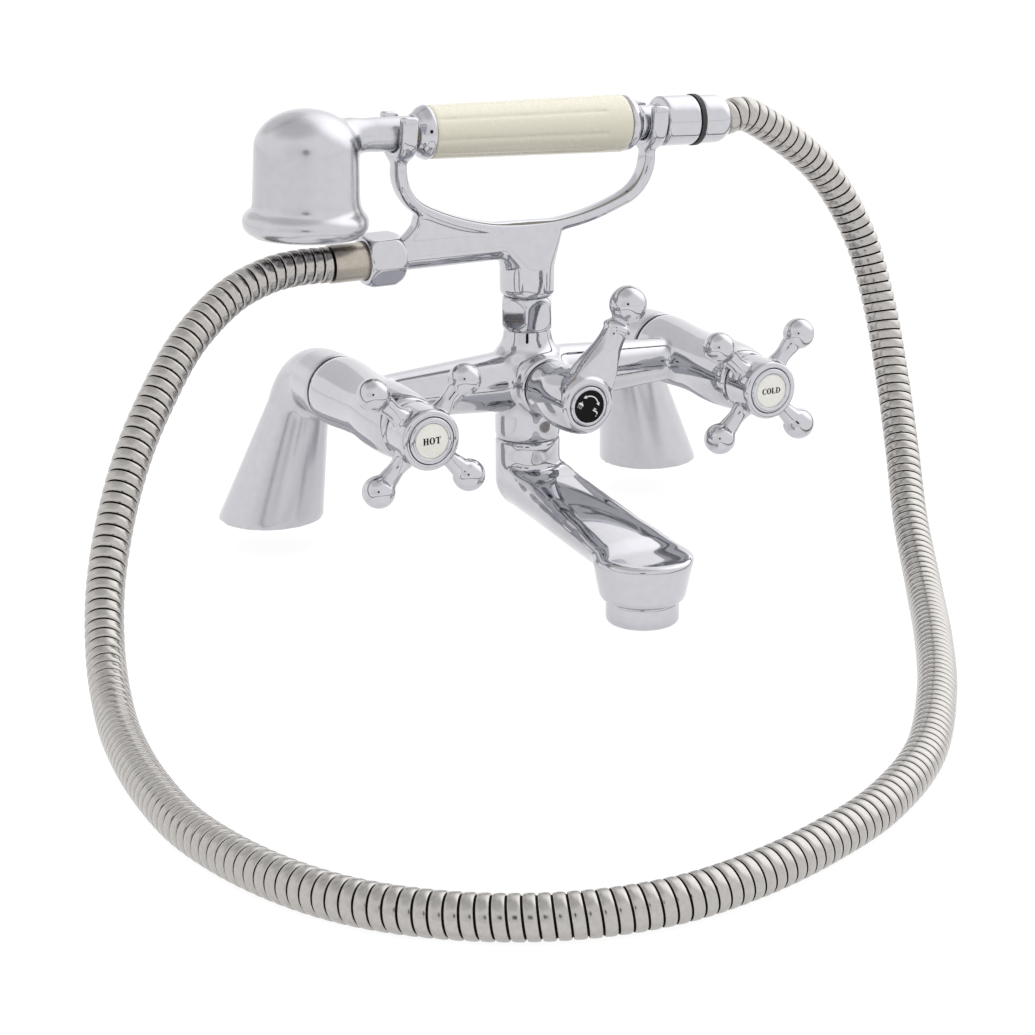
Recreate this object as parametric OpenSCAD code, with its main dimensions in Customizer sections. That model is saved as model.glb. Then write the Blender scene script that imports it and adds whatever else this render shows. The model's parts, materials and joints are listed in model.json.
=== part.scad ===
// Deck mounted bath shower mixer with cross handles, a diverter lever, a duck-bill spout,
// a cradle and a hand shower on a ribbed metal hose. All sizes are in millimetres.
// X runs along the two inlets, the front is -Y, Z is up, and the deck is the plane z = 0.
// The origin lies on the deck, midway between the two legs. "Out" is a distance towards the front.

/* [Layout] */
// Distance between the two supply holes in the deck
inlet_centres = 180; // [174:1:190]
// Distance between the axes of the two valve barrels
barrel_centres = 150; // [146:1:160]
// Height of the barrel axes above the deck
barrel_z = 60.5; // [58:0.5:66]
// How far out from the legs the upright axis of the body stands
body_out = 56; // [54:1:60]
// How far out from the upright axis the water leaves the spout
spout_reach = 93; // [84:1:110]
// How far below the deck the mouth of the spout ends
mouth_drop = 14; // [8:1:18]
// Height of the hand shower's axis above the deck
handset_z = 162; // [160:1:170]
// Tilt of the hand shower in its cradle, in degrees
handset_tilt = 2; // [0:0.5:3]

/* [Legs] */
// Radius of a leg where it stands on the deck
leg_base_r = 21; // [20:0.2:24]
// Radius of a leg round its bend
leg_bend_r = 12.7; // [12.4:0.1:13.6]
// Radius of a leg's collar at the joint with a barrel
leg_collar_r = 14.2; // [13.8:0.1:15]
// Radius of the bend of a leg's middle line
leg_turn_r = 16; // [14:0.5:18]
// How far out the bend of a leg ends
leg_bend_out = 19.3; // [18:0.1:21]
// How far out a leg ends
leg_out = 37; // [36:0.5:38]
// Radius of the supply thread in the foot
supply_r = 12.1; // [10:0.1:13]
// Depth of the supply thread in the foot
supply_depth = 16; // [12:1:20]
// Radius of the waterway up a leg
leg_bore_r = 8; // [6:0.2:8.4]
// Radius of the spigot that a barrel pushes into a leg
spigot_r = 10.4; // [9.8:0.1:10.8]
// Length of that spigot
spigot_len = 11; // [9:0.5:12]
// Thickness of the gasket between a leg and a barrel
gasket_t = 0.8; // [0.6:0.1:1.4]

/* [Body] */
// Radius of a barrel at its back edge
barrel_back_r = 14.2; // [13.8:0.1:15]
// Radius of a barrel at its waist
barrel_waist_r = 13; // [12.4:0.1:13.4]
// Radius of a barrel at its swelling
barrel_bulge_r = 13.8; // [13.4:0.1:14.6]
// Radius of a barrel's front edge
barrel_nose_r = 11; // [10.6:0.1:11.6]
// Length of a barrel
barrel_len = 66; // [64:1:72]
// Radius of a cross arm where it meets a barrel
arm_r = 8; // [7:0.2:9]
// Radius of the cross arms at the upright axis
arm_root_r = 13.2; // [12:0.2:14]
// Radius of the upright middle of the body
middle_r = 13.3; // [12.8:0.1:14]
// Height of the body's lower rim above the deck
rim_z = 36; // [34:0.5:38]
// Radius of the body's neck
neck_r = 9.8; // [9.4:0.1:10.6]
// Height of the top of the neck above the barrel axes
neck_rise = 20; // [18:0.5:22]
// Radius of the diverter boss
boss_r = 12.2; // [11.6:0.1:13]
// How far the boss stands out from the upright axis
boss_out = 18; // [16:0.5:20]
// Radius of the waterways in the arms
arm_bore_r = 5; // [4:0.2:5.6]
// Radius of the upright waterway
middle_bore_r = 7.6; // [7.4:0.1:8.2]

/* [Valves] */
// Radius of the pocket that holds a valve cartridge
pocket_r = 9.5; // [9:0.1:9.8]
// Radius of the water hole in a valve seat
seat_hole_r = 5; // [3:0.2:5.4]
// Thickness of a valve's ceramic disc
disc_t = 3; // [2:0.2:3.6]
// Radius of a valve spindle
spindle_r = 4; // [3:0.1:4.2]
// Radius of a diverter's spindle
diverter_spindle_r = 4; // [3.4:0.1:4.4]
// Radius of the pocket that holds the diverter
diverter_pocket_r = 9; // [8.6:0.1:9.6]

/* [Cross handles] */
// Length of a handle's hub
hub_len = 16.7; // [15:0.1:19]
// Radius of a handle's hub at its front rim
hub_r = 11.7; // [11:0.1:13]
// Distance from the handle's axis to a ball's centre
spoke_len = 26.6; // [24:0.2:32]
// Radius of the balls on a handle
ball_r = 6.3; // [5.6:0.1:7]
// Smallest radius of a handle's spoke
spoke_waist_r = 3.3; // [2.8:0.1:4]
// How far back from the hub's front the balls stand
ball_back = 8.7; // [7:0.1:10]
// Angle by which the closed handles stand off the diagonal
handle_set = 2; // [0:0.5:4]
// Radius of an enamel index disc
index_r = 6.7; // [6:0.1:7.2]

/* [Diverter lever] */
// Length of the lever's hub
lever_hub_len = 31; // [28:0.5:36]
// Radius of the lever's hub at the body
lever_back_r = 11.4; // [11.2:0.1:12]
// Radius of the lever's hub where it is widest
lever_hub_r = 13; // [12.4:0.1:13.6]
// Radius of the lever's hub at its front
lever_front_r = 10; // [9.6:0.1:10.8]
// Distance from the lever's axis to its ball's centre
lever_len = 42.5; // [38:0.5:50]
// Radius of the lever's ball
lever_ball_r = 7.6; // [6.6:0.1:8.4]
// Angle of the lever from upright, towards the right
lever_angle = 30; // [0:1:45]
// Radius of the diverter's index disc
lever_index_r = 6.4; // [5.6:0.1:6.8]

/* [Spout] */
// Radius of the spout's upright stem
stem_r = 13.2; // [12.6:0.1:13.4]
// Radius of the spout's cup at its lip
cup_lip_r = 19.4; // [18.4:0.2:21]
// Radius of the spout's cup near its bottom
cup_low_r = 16.8; // [16.2:0.1:17.6]
// Height of the cup from its bottom to its lip
cup_h = 17.5; // [15:0.5:20]
// Radius of the aerator's ring
aerator_r = 14.1; // [13.8:0.1:15]
// Height of the aerator's ring that shows
aerator_h = 9; // [6:0.5:11]

/* [Cradle] */
// Across corners of the cradle's nut, as a radius
cradle_nut_r = 11.4; // [11.2:0.1:12.4]
// Length of the cradle's nut
cradle_nut_len = 14; // [12:0.5:15]
// Radius of the cradle's upright stem
cradle_stem_r = 11.1; // [10.4:0.1:11.2]
// Half the span inside the bow
bow_half = 53; // [52:0.5:56]
// How far the bow drops below its upright ends
bow_drop = 23.5; // [22:0.5:26]
// Inside radius of the bow's corners
bow_corner_r = 15; // [12:0.5:18]
// Thickness of the bow
bow_t = 5.2; // [4.5:0.1:6]
// Width of the bow from front to back
bow_w = 9; // [8:0.5:12]
// Depth of the bow's ends below the hand shower's axis
bow_end = 14; // [13:0.5:16]
// Thickness of a fork's prong
prong_t = 4; // [3:0.1:5]
// Height of the prongs above the hand shower's axis
prong_rise = 7.5; // [5:0.5:9]

/* [Hose and its fittings] */
// Outside diameter of the hose
hose_d = 14; // [12:0.5:14.5]
// Diameter of the water bore in the hose
hose_bore_d = 9; // [7:0.5:10]
// Depth of the grooves between the hose's ribs
rib_depth = 0.7; // [0.4:0.1:1]
// Number of ribs on the hose
rib_count = 200; // [120:1:200]
// Height of the hose outlet above the deck
outlet_z = 116; // [115:0.5:117]
// Length of the hose nut
hose_nut_len = 15; // [14:0.5:16]
// Across corners of the hose nut, as a radius
hose_nut_r = 10.9; // [10.6:0.1:11.2]
// Radius of the threads that hold the hose
hose_thread_r = 8.2; // [8:0.1:8.6]

/* [Hand shower] */
// Distance from the cradle's middle to the axis of the spray head
head_x = 94; // [92:0.5:100]
// Radius of the spray head above its flange
head_r = 20.8; // [20:0.1:21.2]
// Radius of the rolled rim of the spray head
rim_r = 24.5; // [24:0.1:24.8]
// How far the spray face lies below the hand shower's axis
head_drop = 37; // [36:0.5:37.5]
// How far the dome rises above the hand shower's axis
head_rise = 11; // [9.5:0.5:12]
// Wall thickness of the spray head
head_wall = 2; // [1.5:0.1:3]
// Radius of the necks that rest in the forks
rest_r = 6.7; // [6:0.1:7]
// Radius of the tube through the grip
tube_r = 5.2; // [4.6:0.1:5.4]
// Where the grip starts, along the hand shower's axis
grip_from = -43.5; // [-44.5:0.5:-41]
// Where the grip ends, along the hand shower's axis
grip_to = 43; // [42:0.5:44]
// Radius of the grip at its spray end
grip_small_r = 10.4; // [10:0.1:11]
// Radius of the grip at its hose end
grip_large_r = 11.5; // [11:0.1:12.4]
// Number of grooves along the grip
flute_count = 8; // [6:1:12]
// Depth of a groove
flute_depth = 0.5; // [0.3:0.1:0.7]
// Radius of the tail
tail_r = 10.1; // [9.6:0.1:10.6]
// Where the tail ends, along the hand shower's axis
tail_to = 75.5; // [74:0.5:78]

/* [Clearances] */
// Gap round parts that are fixed in each other
fit_gap = 0.1; // [0.05:0.01:0.2]
// Gap round a spindle that turns in its sleeve
running_gap = 0.05; // [0.02:0.01:0.1]
// Gap between parts that pass each other
free_gap = 0.4; // [0.3:0.05:0.6]
// Gap between the hose's ends and its fittings
hose_gap = 0.3; // [0.25:0.05:0.5]

/* [Hidden] */
$fn = 72;
hot = -1;
cold = 1;
past = 1;
lap = 0.1;
half_space = 600;
chrome = [0.86, 0.87, 0.90];
brass = [0.80, 0.66, 0.36];
ceramic = [0.93, 0.92, 0.90];
rubber = [0.12, 0.12, 0.13];
enamel = [0.95, 0.94, 0.90];
cream = [0.89, 0.86, 0.77];
steel = [0.70, 0.68, 0.65];
nickel = [0.66, 0.61, 0.54];

// Stations along a barrel, as distances out from the legs
barrel_back_out = leg_out + gasket_t;
spigot_out = leg_out - spigot_len;
leg_screw_out = leg_out - spigot_len / 2;
leg_screw_r = 2;
barrel_out = barrel_back_out + barrel_len;
seat_out = body_out - 11;
seat_t = 4;
seal_t = 2;
disc_out = seat_out + seal_t;
moving_disc_out = disc_out + disc_t + running_gap;
spindle_foot_out = moving_disc_out + disc_t;
spindle_flange_out = spindle_foot_out + 4.5;
spindle_flange_t = 2;
chamber_out = spindle_flange_out + spindle_flange_t + running_gap;
hub_back_out = barrel_out + 2 * free_gap;
hub_front_out = hub_back_out + hub_len;
index_depth = 3.5;
socket_end_out = hub_front_out - index_depth - 2;
bonnet_nose_out = barrel_out + 3;
chamber_r = pocket_r - 2.5;
index_ring_r = index_r + 2.5;
screw_r = 1.9;
screw_head_r = 3.5;
screw_head_t = 2;
screw_grip = 8;
index_t = 1.4;

// Stations along the diverter, as distances out from the legs
boss_front_out = body_out + boss_out;
bonnet_flange_t = 1.5;
lever_back_out = boss_front_out + bonnet_flange_t + free_gap;
lever_front_out = lever_back_out + lever_hub_len;
lever_nose_out = boss_front_out + 7;
rotor_back_out = body_out - 7;
rotor_front_out = body_out + 6;
lever_index_depth = 3.5;
lever_socket_end_out = lever_front_out - lever_index_depth - 2;
lever_ring_r = lever_index_r + 1.7;
lever_arm_back = 7;
bonnet_flange_r = diverter_pocket_r + 0.8;

// Heights in the upright middle
neck_z = barrel_z + neck_rise;
spout_spigot_r = neck_r + 0.2;
spout_spigot_h = 9;
nut_z = neck_z + 0.5;
nut_top_z = nut_z + cradle_nut_len;
cradle_thread_r = neck_r - 0.9;
cradle_washer_t = 1.5;
body_thread_top_z = nut_z + (cradle_nut_len - cradle_washer_t) / 2;
cradle_spigot_z = body_thread_top_z + cradle_washer_t;
cradle_bore_r = 6.4;
stem_top_z = outlet_z - 8;
stem_gap = 0.6;

// Spout
mouth_z = -mouth_drop;
cup_z = mouth_z + aerator_h;
lip_z = cup_z + cup_h;
outlet_out = body_out + spout_reach;
elbow_z = cup_z + cup_h + 6;
arm_slope = 0.15;
aerator_thread_r = aerator_r - 1.2;
aerator_thread_h = 8;
aerator_bore_r = aerator_thread_r - 1.6;

// Bow of the cradle, made of three arcs that run into each other
bow_corner_x = bow_half - bow_corner_r;
bow_r = (pow(bow_corner_x, 2) + pow(bow_drop, 2) - pow(bow_corner_r, 2))
    / (2 * (bow_drop - bow_corner_r));
bow_angle = asin(bow_corner_x / (bow_r - bow_corner_r));
bow_lap = 0.15;
bow_lap_angle = 4;
fork_x = bow_half + bow_t / 2;
fork_w = 7;
fork_slot_r = rest_r + 0.3;
fork_r = fork_slot_r + prong_t;

// Hose outlet on the cradle, measured along -X from the upright axis
branch_r = 5.6;
branch_bore_r = 3.8;
hose_nut_x = 57;
hose_nut_end_x = hose_nut_x + hose_nut_len;
hose_spigot_x = hose_nut_x + 6;
hose_washer_t = 2;
ferrule_flange_x = hose_spigot_x + hose_washer_t;
nut_lip_t = 3;
ferrule_r = hose_d / 2 + 0.4;
ferrule_end_x = hose_nut_end_x + 14;

// Hand shower, along its own axis
front_collar_x = -50;
rear_collar_x = 49.5;
tail_x = 60;
tube_from = -60;
tube_to = 58;
tube_bore_r = tube_r - 1.3;
tail_ring_t = 2;
end_nut_x = tail_to + tail_ring_t;
end_nut_len = 13.5;
end_nut_to = end_nut_x + end_nut_len;
tail_thread_len = 7;
plate_t = 2;
bead_r = 5;
plate_r = head_r - 0.2;
seal_w = 1.4;

// Places of things
module at_barrel(side) {
    translate([side * barrel_centres / 2, 0, barrel_z]) rotate([90, 0, 0]) children();
}
module at_diverter() {
    translate([0, 0, barrel_z]) rotate([90, 0, 0]) children();
}
module at_middle() {
    translate([0, -body_out, 0]) children();
}
module at_mouth() {
    translate([0, -outlet_out, 0]) children();
}
module at_outlet() {
    translate([0, -body_out, outlet_z]) rotate([0, -90, 0]) children();
}
module in_handset() {
    translate([0, -body_out, handset_z]) rotate([0, handset_tilt, 0]) children();
}
module along_handset() {
    in_handset() rotate([0, 90, 0]) children();
}

// Shapes that repeat
function arc(x, y, r, from, to, steps) =
    [for (i = [0 : steps]) let (a = from + (to - from) * i / steps) [x + r * cos(a), y + r * sin(a)]];
function ellipse_arc(x, y, rx, ry, from, to, steps) =
    [for (i = [0 : steps]) let (a = from + (to - from) * i / steps) [x + rx * cos(a), y + ry * sin(a)]];
function ramp(x) = (1 - cos(180 * x)) / 2;

module turned(outline) {
    rotate_extrude() polygon(outline);
}
module span(from, to, r) {
    translate([0, 0, from]) cylinder(r = r, h = to - from);
}
module sleeve(from, to, r, bore) {
    difference() {
        span(from, to, r);
        span(from - past, to + past, bore);
    }
}
// A cone from one point to another, turned so that its seam lies off the plane in which it leans
module between(a, b, ra, rb) {
    d = b - a;
    seam = 40;
    translate(a)
        rotate([0, acos(d[2] / norm(d)), atan2(d[1], d[0])])
            rotate(seam) cylinder(r1 = ra, r2 = rb, h = norm(d));
}
// A nut whose corners are turned off towards both ends
module hex_nut(from, to, corner_r, bore, chamfer, turn) {
    low_r = corner_r * cos(30) - 0.2;
    difference() {
        intersection() {
            translate([0, 0, from]) rotate(turn) cylinder(r = corner_r, h = to - from, $fn = 6);
            turned([
                [0, from], [low_r, from], [corner_r + lap, from + chamfer],
                [corner_r + lap, to - chamfer], [low_r, to], [0, to]
            ]);
        }
        span(from - past, to + past, bore);
    }
}
module screw(from, to) {
    span(from, to, screw_r);
    difference() {
        span(to, to + screw_head_t, screw_head_r);
        translate([0, 0, to + screw_head_t / 2]) rotate(30) cylinder(r = 1.6, h = screw_head_t, $fn = 6);
    }
}
module index_ring(to, depth, ring_r, disc_r) {
    difference() {
        turned([
            [0, to - depth], [ring_r - fit_gap, to - depth], [ring_r - fit_gap, to - 0.4],
            [ring_r - 0.6, to + 0.4], [disc_r + 0.5, to + 0.4], [0, to + 0.4]
        ]);
        span(to - depth - past, to + past, disc_r - 1.2);
        span(to - index_t, to + past, disc_r + fit_gap);
    }
}

// Legs
leg_lean = atan2((inlet_centres - barrel_centres) / 2, barrel_z);
module at_leg_bend(side) {
    translate([side * barrel_centres / 2, -leg_bend_out, barrel_z])
        rotate([0, -side * leg_lean, 0]) children();
}
function leg_foot(side) = [side * inlet_centres / 2, 0, 0];
function leg_top(side) = [
    side * (barrel_centres / 2 + leg_turn_r * sin(leg_lean)),
    leg_turn_r - leg_bend_out,
    barrel_z - leg_turn_r * cos(leg_lean)
];
module leg_bend(side, r) {
    at_leg_bend(side) translate([0, 0, -leg_turn_r]) rotate([90, 0, 90])
        rotate_extrude(angle = 90) translate([leg_turn_r, 0]) circle(r);
}
module leg(side) {
    foot = leg_foot(side);
    top = leg_top(side);
    rise = top - foot;
    below = 0.3;
    above = 0.08;
    top_r = leg_bend_r + 2 * lap;
    bore_r = leg_bore_r - past;
    bore_from = foot + [0, 0, supply_depth - 3];
    color(chrome) difference() {
        union() {
            intersection() {
                between(
                    foot - below * rise, foot + (1 + above) * rise,
                    leg_base_r + below * (leg_base_r - top_r), top_r - above * (leg_base_r - top_r)
                );
                translate([-half_space / 2, -half_space / 2, 0]) cube(half_space);
            }
            leg_bend(side, leg_bend_r);
            at_barrel(side) translate([0, 0, leg_bend_out - past])
                cylinder(r1 = leg_bend_r + 3 * lap, r2 = leg_collar_r, h = leg_out - leg_bend_out + past);
        }
        translate(foot) span(-past, supply_depth, supply_r);
        between(bore_from, foot + (1 + above) * rise, bore_r, bore_r);
        leg_bend(side, leg_bore_r);
        at_barrel(side) {
            span(leg_bend_out - past, leg_out, bore_r);
            span(spigot_out - 0.5, leg_out + past, spigot_r + fit_gap);
            translate([0, 0, leg_screw_out]) rotate([90, 0, 0])
                cylinder(r = leg_screw_r + fit_gap, h = 2 * leg_collar_r);
        }
    }
}
module leg_screw(side) {
    color(steel) at_barrel(side) translate([0, 0, leg_screw_out]) rotate([90, 0, 0]) difference() {
        span(spigot_r + fit_gap, leg_bend_r - 0.2, leg_screw_r);
        translate([0, 0, leg_bend_r - 1.4]) cylinder(r = 1.1, h = 2, $fn = 6);
    }
}
module leg_gasket(side) {
    color(rubber) at_barrel(side) sleeve(leg_out, barrel_back_out, leg_collar_r - 0.4, spigot_r + fit_gap);
}

// Cast body
function barrel_outline() = concat(
    [[0, barrel_back_out], [barrel_back_r - 0.4, barrel_back_out], [barrel_back_r, barrel_back_out + 0.4]],
    [for (i = [1 : 8])
        [
            barrel_back_r + (barrel_waist_r - barrel_back_r) * ramp(i / 8),
            barrel_back_out + barrel_len * 0.42 * i / 8
        ]],
    [for (i = [1 : 8])
        [
            barrel_waist_r + (barrel_bulge_r - barrel_waist_r) * ramp(i / 8),
            barrel_back_out + barrel_len * (0.46 + 0.24 * i / 8)
        ]],
    ellipse_arc(
        barrel_nose_r, barrel_back_out + barrel_len * 0.74,
        barrel_bulge_r - barrel_nose_r, barrel_len * 0.26, 0, 90, 8
    ),
    [[0, barrel_out]]
);
function middle_outline() = let (
    fillet_r = 9,
    fillet_from = 180 + acos((neck_r + fillet_r - middle_r) / fillet_r)
) concat(
    [[0, rim_z], [middle_r - 0.9, rim_z], [middle_r, rim_z + 0.9]],
    arc(neck_r + fillet_r, neck_z - past, fillet_r, fillet_from, 180, 8),
    [
        [neck_r, neck_z], [cradle_thread_r, neck_z],
        [cradle_thread_r, body_thread_top_z], [0, body_thread_top_z]
    ]
);
module mixer_body() {
    color(chrome) difference() {
        union() {
            for (side = [hot, cold]) {
                at_barrel(side) {
                    turned(barrel_outline());
                    span(spigot_out, barrel_back_out + past, spigot_r);
                }
                translate([0, -body_out, barrel_z])
                    rotate([0, side * 90, 0])
                        cylinder(r1 = arm_root_r, r2 = arm_r, h = barrel_centres / 2);
            }
            at_middle() turned(middle_outline());
            at_diverter() span(body_out, boss_front_out, boss_r);
        }
        for (side = [hot, cold]) {
            at_barrel(side) {
                span(spigot_out - past, seat_out - seat_t, leg_bore_r);
                span(seat_out - seat_t - past, seat_out + past, seat_hole_r);
                span(seat_out, barrel_out + past, pocket_r);
            }
            translate([0, -body_out, barrel_z])
                rotate([0, side * 90, 0])
                    cylinder(r = arm_bore_r, h = barrel_centres / 2);
        }
        at_middle() {
            span(rim_z - past, rim_z + spout_spigot_h + past, spout_spigot_r + fit_gap);
            span(rim_z, body_thread_top_z + past, middle_bore_r);
        }
        at_diverter() span(rotor_back_out - free_gap, boss_front_out + past, diverter_pocket_r);
    }
}

// Quarter turn valves
module cartridge(side) {
    thread_out = body_out + 14;
    port_r = 2.2;
    color(brass) at_barrel(side) difference() {
        union() {
            span(disc_out, thread_out, pocket_r - 1.3);
            span(thread_out, barrel_out, pocket_r - fit_gap);
            span(barrel_out - past, bonnet_nose_out, spindle_r + 2.4);
        }
        span(disc_out - past, chamber_out, chamber_r);
        span(chamber_out - past, bonnet_nose_out + past, spindle_r + running_gap);
        translate([0, 0, spindle_foot_out + port_r])
            rotate([0, 90, 0])
                translate([0, 0, -pocket_r]) cylinder(r = port_r, h = 2 * pocket_r);
    }
}
module seat_seal(side) {
    color(rubber) at_barrel(side) sleeve(seat_out, disc_out, pocket_r - 1.3, seat_hole_r);
}
module fixed_disc(side) {
    color(ceramic) at_barrel(side) difference() {
        span(disc_out, disc_out + disc_t, chamber_r - fit_gap);
        for (turn = [0, 180])
            rotate(turn) translate([chamber_r / 2, 0, 0]) span(disc_out - past, disc_out + disc_t + past, 2);
    }
}
module moving_disc(side) {
    color(ceramic) at_barrel(side) difference() {
        span(moving_disc_out, spindle_foot_out, chamber_r - free_gap);
        for (turn = [90, 270])
            rotate(turn)
                translate([chamber_r / 2, 0, 0]) span(moving_disc_out - past, spindle_foot_out + past, 2);
    }
}
module spindle(side) {
    color(brass) at_barrel(side) difference() {
        union() {
            span(spindle_foot_out, socket_end_out, spindle_r);
            span(spindle_flange_out, spindle_flange_out + spindle_flange_t, chamber_r - free_gap);
        }
        span(socket_end_out - screw_grip - past, socket_end_out + past, screw_r + fit_gap);
    }
}

// Cross handles
function hub_outline() = concat(
    [[0, hub_back_out], [hub_r - 2, hub_back_out]],
    arc(hub_r - 2, hub_back_out + 2, 2, 270, 330, 4),
    [[hub_r, hub_front_out - 4]],
    arc(hub_r - 1.2, hub_front_out - 1.2, 1.2, 0, 90, 4),
    [[0, hub_front_out]]
);
function spoke_outline(inner_r, waist_r, end_r, reach) = concat(
    [[0, 0], [inner_r, 0]],
    [for (i = [0 : 8])
        [inner_r + (waist_r - inner_r) * ramp(i / 8), reach * (0.3 + 0.3 * i / 8)]],
    [for (i = [1 : 4])
        [waist_r + (end_r * 0.62 - waist_r) * ramp(i / 4), reach * (0.6 + 0.2 * i / 4)]],
    [[0, reach * 0.85]]
);
module handle(side) {
    ball_out = hub_front_out - ball_back;
    color(chrome) at_barrel(side) difference() {
        union() {
            turned(hub_outline());
            for (turn = [45 : 90 : 315])
                translate([0, 0, ball_out]) rotate(turn + handle_set) rotate([0, 90, 0]) {
                    turned(spoke_outline(4.6, spoke_waist_r, ball_r, spoke_len));
                    translate([0, 0, spoke_len]) sphere(ball_r);
                }
        }
        span(hub_back_out - past, bonnet_nose_out + free_gap, spindle_r + 2.4 + free_gap);
        span(hub_back_out, socket_end_out, spindle_r + fit_gap);
        span(hub_back_out, hub_front_out, screw_r + fit_gap);
        span(hub_front_out - index_depth, hub_front_out + past, index_ring_r);
    }
}
module handle_screw(side) {
    color(steel) at_barrel(side) screw(socket_end_out - screw_grip, hub_front_out - index_depth);
}
module handle_index_ring(side) {
    color(chrome) at_barrel(side) index_ring(hub_front_out, index_depth, index_ring_r, index_r);
}
module handle_index_disc(side) {
    color(enamel) at_barrel(side) span(hub_front_out - index_t, hub_front_out, index_r);
}

// Diverter
module diverter_bonnet() {
    color(brass) at_diverter() difference() {
        union() {
            span(rotor_front_out + free_gap, boss_front_out, diverter_pocket_r - fit_gap);
            span(boss_front_out, boss_front_out + bonnet_flange_t, bonnet_flange_r);
            span(boss_front_out, lever_nose_out, diverter_spindle_r + 2.4);
        }
        span(0, lever_nose_out + past, diverter_spindle_r + running_gap);
    }
}
module diverter_valve() {
    color(ceramic) at_diverter() difference() {
        span(rotor_back_out, rotor_front_out, middle_bore_r - free_gap);
        span(rotor_front_out - 4, rotor_front_out + past, diverter_spindle_r - 1 + fit_gap);
        translate([0, 0, body_out - 1.5]) rotate([0, 90, 0]) translate([0, 0, -past]) cylinder(r = 3, h = 12);
        translate([0, 0, body_out - 1.5]) rotate([90, 0, 0]) translate([0, 0, -past]) cylinder(r = 3, h = 12);
    }
}
oring_out = boss_front_out - 5;
oring_t = 1.6;
oring_depth = 0.9;
module diverter_spindle() {
    color(brass) at_diverter() difference() {
        union() {
            span(rotor_front_out, lever_socket_end_out, diverter_spindle_r);
            span(rotor_front_out - 4, rotor_front_out + past, diverter_spindle_r - 1);
        }
        sleeve(oring_out, oring_out + oring_t, diverter_spindle_r + past, diverter_spindle_r - oring_depth);
        span(lever_socket_end_out - screw_grip - past, lever_socket_end_out + past, screw_r + fit_gap);
    }
}
module diverter_oring() {
    color(rubber) at_diverter()
        sleeve(
            oring_out + fit_gap, oring_out + oring_t - fit_gap,
            diverter_spindle_r, diverter_spindle_r - oring_depth + fit_gap
        );
}
function lever_hub_outline() = concat(
    [[0, lever_back_out], [lever_back_r - 0.4, lever_back_out], [lever_back_r, lever_back_out + 0.4]],
    [for (i = [1 : 6])
        [
            lever_back_r + (lever_hub_r - lever_back_r) * ramp(i / 6),
            lever_back_out + lever_hub_len * (0.1 + 0.45 * i / 6)
        ]],
    ellipse_arc(
        lever_front_r, lever_back_out + lever_hub_len * 0.58,
        lever_hub_r - lever_front_r, lever_hub_len * 0.42, 0, 90, 8
    ),
    [[0, lever_front_out]]
);
function lever_arm_outline() = let (
    neck = lever_len - lever_ball_r,
    root = lever_hub_r * 0.55
) concat(
    [[0, 0], [9.6, 0]],
    [for (i = [0 : 8]) [9.6 - 4.6 * ramp(i / 8), root + (neck - 5 - root) * i / 8]],
    arc(4.2, neck - 2.6, 1.6, 300, 420, 6),
    [[3.6, neck + 0.4], [3.9, neck + 1.6], [0, neck + 2]]
);
// The arm's front is flat where it leaves the hub, so that the index disc stays clear
module diverter_lever() {
    facet = 4.4;
    facet_lean = 3;
    color(chrome) at_diverter() difference() {
        union() {
            turned(lever_hub_outline());
            translate([0, 0, lever_front_out - lever_arm_back]) rotate(-lever_angle) {
                difference() {
                    rotate([-90, 0, 0]) turned(lever_arm_outline());
                    translate([0, 0, facet]) rotate([facet_lean, 0, 0])
                        translate([-half_space / 2, -half_space / 2, 0]) cube(half_space);
                }
                translate([0, lever_len, 0]) sphere(lever_ball_r);
            }
        }
        span(lever_back_out - past, lever_nose_out + free_gap, bonnet_flange_r + free_gap);
        span(lever_back_out, lever_socket_end_out, diverter_spindle_r + fit_gap);
        span(lever_back_out, lever_front_out, screw_r + fit_gap);
        span(lever_front_out - lever_index_depth, lever_front_out + past, lever_ring_r);
    }
}
module diverter_screw() {
    color(steel) at_diverter() screw(lever_socket_end_out - screw_grip, lever_front_out - lever_index_depth);
}
module diverter_index_ring() {
    color(chrome) at_diverter() index_ring(lever_front_out, lever_index_depth, lever_ring_r, lever_index_r);
}
module diverter_index_disc() {
    color(rubber) at_diverter() span(lever_front_out - index_t, lever_front_out, lever_index_r);
}

// Spout
spout_oring_z = rim_z + 3;
spout_oring_t = 2.4;
spout_oring_depth = 1;
function cup_outline() = concat(
    [[0, cup_z], [aerator_r + 0.6, cup_z]],
    arc(cup_low_r - 2.6, cup_z + 2.6, 2.6, 290, 350, 5),
    [[cup_lip_r - 0.6, lip_z - 4.5], [cup_lip_r, lip_z - 1.6]],
    arc(cup_lip_r - 1.4, lip_z - 1.4, 1.4, 10, 90, 4),
    [[0, lip_z]]
);
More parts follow.
